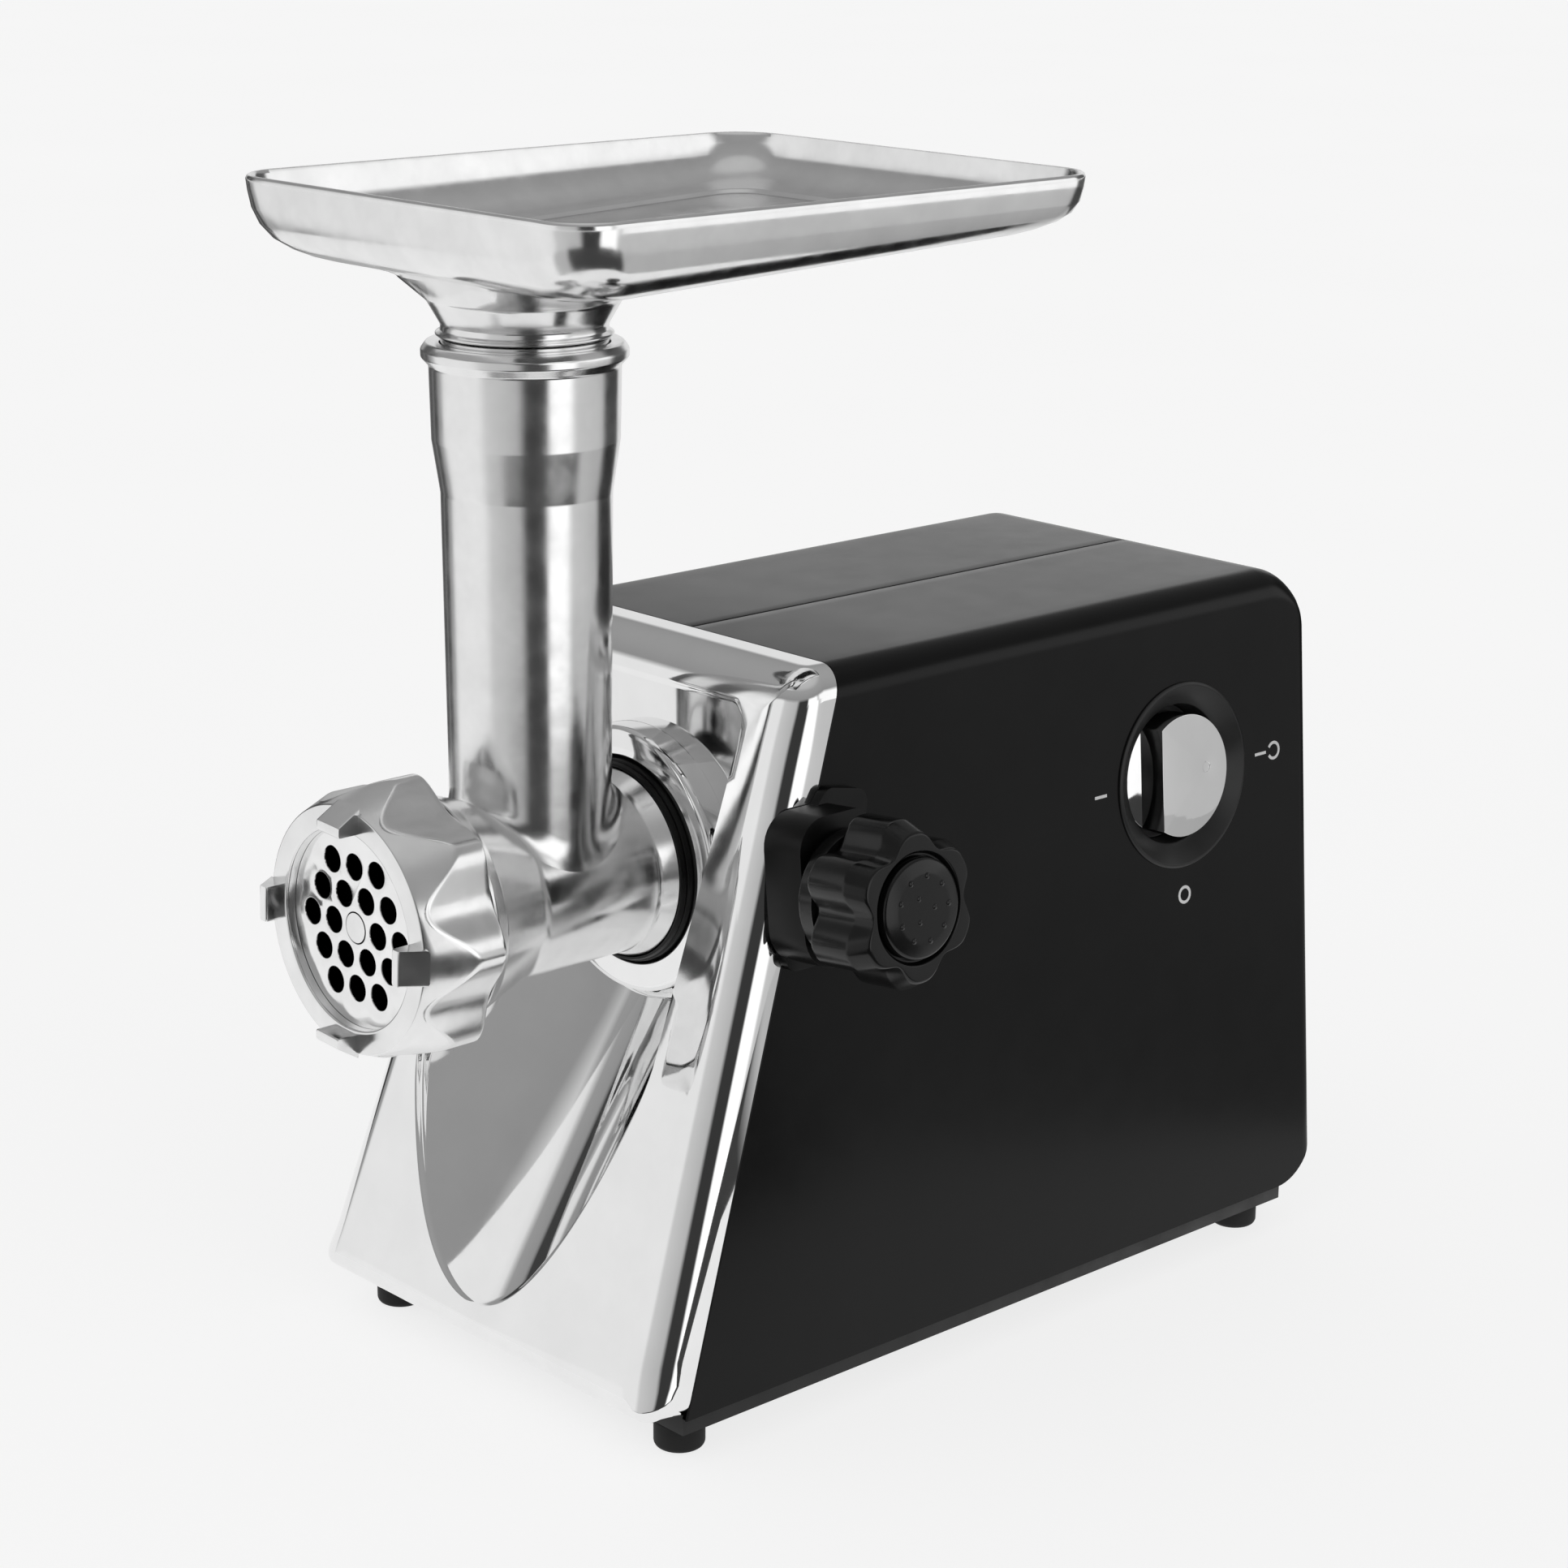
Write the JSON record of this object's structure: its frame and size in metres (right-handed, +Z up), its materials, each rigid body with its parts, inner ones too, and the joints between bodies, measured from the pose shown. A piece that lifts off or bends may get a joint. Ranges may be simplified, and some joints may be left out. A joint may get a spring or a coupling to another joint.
{
  "type": "electric meat grinder",
  "caption": "Tabletop electric meat grinder: black two-shell housing, sloping chrome front, removable grinding head and loading tray.",
  "frame": {"origin": "on the ground at the middle of the machine's bounding box", "axes": "+Z up; the grinding head points along -Y; the switch and the lock knob are on the +X side"},
  "size_m": [0.1894, 0.321, 0.329],
  "materials": {
    "housing_gloss": "glossy black moulded plastic, dark grey sheen on top",
    "black_plastic": "satin black moulded plastic",
    "base_black": "fine-textured black plastic",
    "rubber": "soft black rubber",
    "chrome": "bright chrome plating on plastic",
    "cast_aluminium": "polished cast aluminium",
    "tray_metal": "polished pressed aluminium sheet",
    "tool_steel": "ground steel",
    "fastener_steel": "zinc-plated steel",
    "shaft_steel": "turned steel",
    "bronze": "sintered bronze",
    "gear_nylon": "natural nylon",
    "gearbox_grey": "glass-filled dark grey nylon",
    "lamination": "stacked steel laminations",
    "copper": "enamelled copper wire",
    "carbon": "pressed carbon",
    "bracket_alloy": "die-cast aluminium",
    "board_green": "printed circuit board",
    "terminal_white": "white nylon"
  },
  "bodies": {
    "machine": {"housing_right": "housing_gloss", "housing_left": "housing_gloss", "housing_screws": "fastener_steel", "front_bezel": "chrome", "base_plate": "base_black", "base_screws": "fastener_steel", "feet": "rubber", "cord_gland": "black_plastic", "socket_collar": "chrome", "socket_ring": "black_plastic", "gearbox_housing": "gearbox_grey", "gearbox_cover": "gearbox_grey", "gearbox_screws": "fastener_steel", "output_bush": "bronze", "rear_bush": "bronze", "second_shaft": "shaft_steel", "first_shaft": "shaft_steel", "stator_core": "lamination", "field_windings": "copper", "motor_front_bracket": "bracket_alloy", "motor_rear_bracket": "bracket_alloy", "motor_bearings": "shaft_steel", "brush_holders": "bronze", "carbon_brushes": "carbon", "motor_screws": "fastener_steel", "rectifier_board": "board_green", "terminal_block": "terminal_white", "switch_dish": "black_plastic", "switch_body": "black_plastic", "lock_bracket": "black_plastic"},
    "head": {"head_casting": "cast_aluminium", "screw_bush": "gear_nylon"},
    "feed": {"feed_screw": "cast_aluminium", "knife": "tool_steel"},
    "plate": {"cutting_plate": "tool_steel"},
    "nut": {"ring_nut": "cast_aluminium"},
    "tray": {"tray": "tray_metal"},
    "drive": {"output_shaft": "shaft_steel", "output_gear": "bronze"},
    "second": {"second_gear": "gear_nylon"},
    "first": {"first_gear": "gear_nylon"},
    "motor": {"motor_pinion": "shaft_steel", "motor_shaft": "shaft_steel", "rotor_core": "lamination", "rotor_windings": "copper", "commutator": "copper", "cooling_fan": "black_plastic"},
    "switch": {"switch_knob": "chrome"},
    "lock_thrust": {"lock_washer": "fastener_steel"},
    "lock": {"lock_screw": "shaft_steel", "lock_knob": "black_plastic", "lock_knob_cap": "black_plastic"}
  },
  "joints": [
    {"name": "head_slide", "type": "slide", "parent": "machine", "child": "head", "axis": [0, -1, 0], "range_m": [0, 0.06]},
    {"name": "tray_lift", "type": "slide", "parent": "head", "child": "tray", "axis": [0, 0, 1], "range_m": [0, 0.08]},
    {"name": "feed_spin", "type": "hinge", "parent": "head", "child": "feed", "pos_m": [-0.01669, -0.0955, 0.1425], "axis": [0, 1, 0], "continuous": true},
    {"name": "plate_slide", "type": "slide", "parent": "head", "child": "plate", "axis": [0, -1, 0], "range_m": [0, 0.028]},
    {"name": "ring_nut_turn", "type": "hinge", "parent": "plate", "child": "nut", "pos_m": [-0.01669, -0.1455, 0.1425], "axis": [0, -1, 0], "range_deg": [0, 2520]},
    {"name": "drive_spin", "type": "hinge", "parent": "machine", "child": "drive", "pos_m": [-0.01669, -0.0255, 0.1425], "axis": [0, 1, 0], "continuous": true},
    {"name": "second_spin", "type": "hinge", "parent": "machine", "child": "second", "pos_m": [-0.04669, -0.0155, 0.0976], "axis": [0, 1, 0], "continuous": true},
    {"name": "first_spin", "type": "hinge", "parent": "machine", "child": "first", "pos_m": [-0.01269, -0.0005, 0.08705], "axis": [0, 1, 0], "continuous": true},
    {"name": "motor_spin", "type": "hinge", "parent": "machine", "child": "motor", "pos_m": [-0.01669, 0.0545, 0.05732], "axis": [0, 1, 0], "continuous": true},
    {"name": "switch_turn", "type": "hinge", "parent": "machine", "child": "switch", "pos_m": [0.04802, 0.097, 0.151], "axis": [0.9972, 0, 0.0749], "range_deg": [-180, 0]},
    {"name": "lock_travel", "type": "slide", "parent": "machine", "child": "lock_thrust", "axis": [0.9951, 0, 0.0993], "range_m": [0, 0.006]},
    {"name": "lock_turn", "type": "hinge", "parent": "lock_thrust", "child": "lock", "pos_m": [0.08281, -0.0535, 0.15243], "axis": [0.9951, 0, 0.0993], "range_deg": [0, 1080]}
  ],
  "couplings": [
    {"joint": "feed_spin", "follows": "drive_spin", "ratio": 1},
    {"joint": "second_spin", "follows": "drive_spin", "ratio": -3.5},
    {"joint": "first_spin", "follows": "drive_spin", "ratio": 13.125},
    {"joint": "motor_spin", "follows": "drive_spin", "ratio": -52.5},
    {"joint": "plate_slide", "follows": "ring_nut_turn", "m_per_rad": 0.00063662},
    {"joint": "lock_travel", "follows": "lock_turn", "m_per_rad": 0.00031831}
  ]
}
